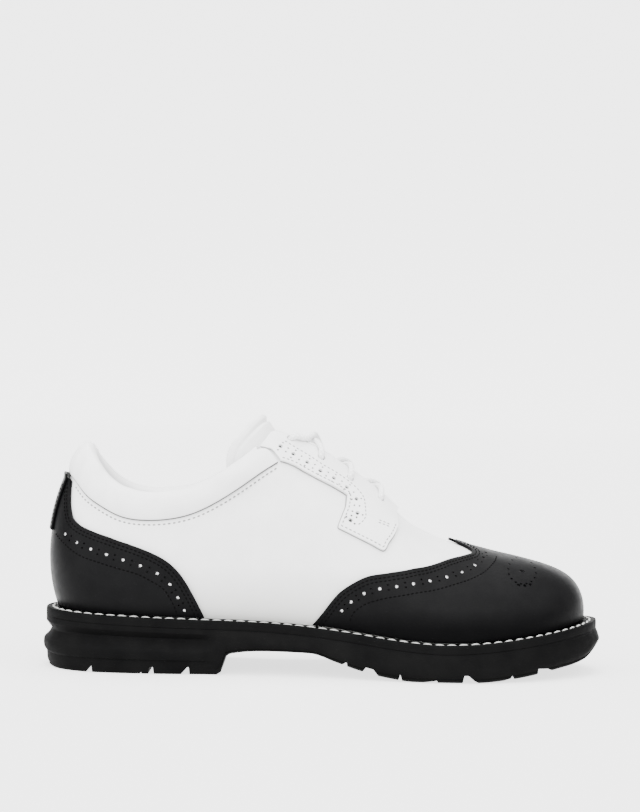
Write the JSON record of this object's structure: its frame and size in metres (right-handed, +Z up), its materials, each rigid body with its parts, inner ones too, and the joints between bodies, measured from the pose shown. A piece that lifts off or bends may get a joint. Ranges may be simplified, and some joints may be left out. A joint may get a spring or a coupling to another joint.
{
  "type": "wingtip shoe",
  "caption": "Low two-tone leather wingtip shoe with an open hollow inside, padded collar, laced throat, stitched welt and a lugged rubber sole with a low heel.",
  "frame": {"origin": "middle of the overall box in plan, on the ground plane the heel and forefoot lugs rest on", "axes": "+X towards the toe, +Y towards the medial (inner) side, +Z up"},
  "size_m": [0.2688, 0.0966, 0.1234],
  "materials": {
    "white_leather": "smooth, fine grain, low gloss",
    "black_leather": "smooth, polished, half gloss",
    "black_rubber": "moulded, matt",
    "white_lace": "round woven cord, matt",
    "grey_lining": "plain lining, matt"
  },
  "bodies": {
    "root": {"outsole": "black_rubber", "welt": "black_rubber", "insole": "grey_lining", "upper": "white_leather", "wing_cap": "black_leather", "heel_counter": "black_leather", "back_tab": "black_leather", "eyestay_lateral": "white_leather", "eyestay_medial": "white_leather", "collar": "white_leather", "tongue": "white_leather", "lace": "white_lace"}
  },
  "joints": []
}
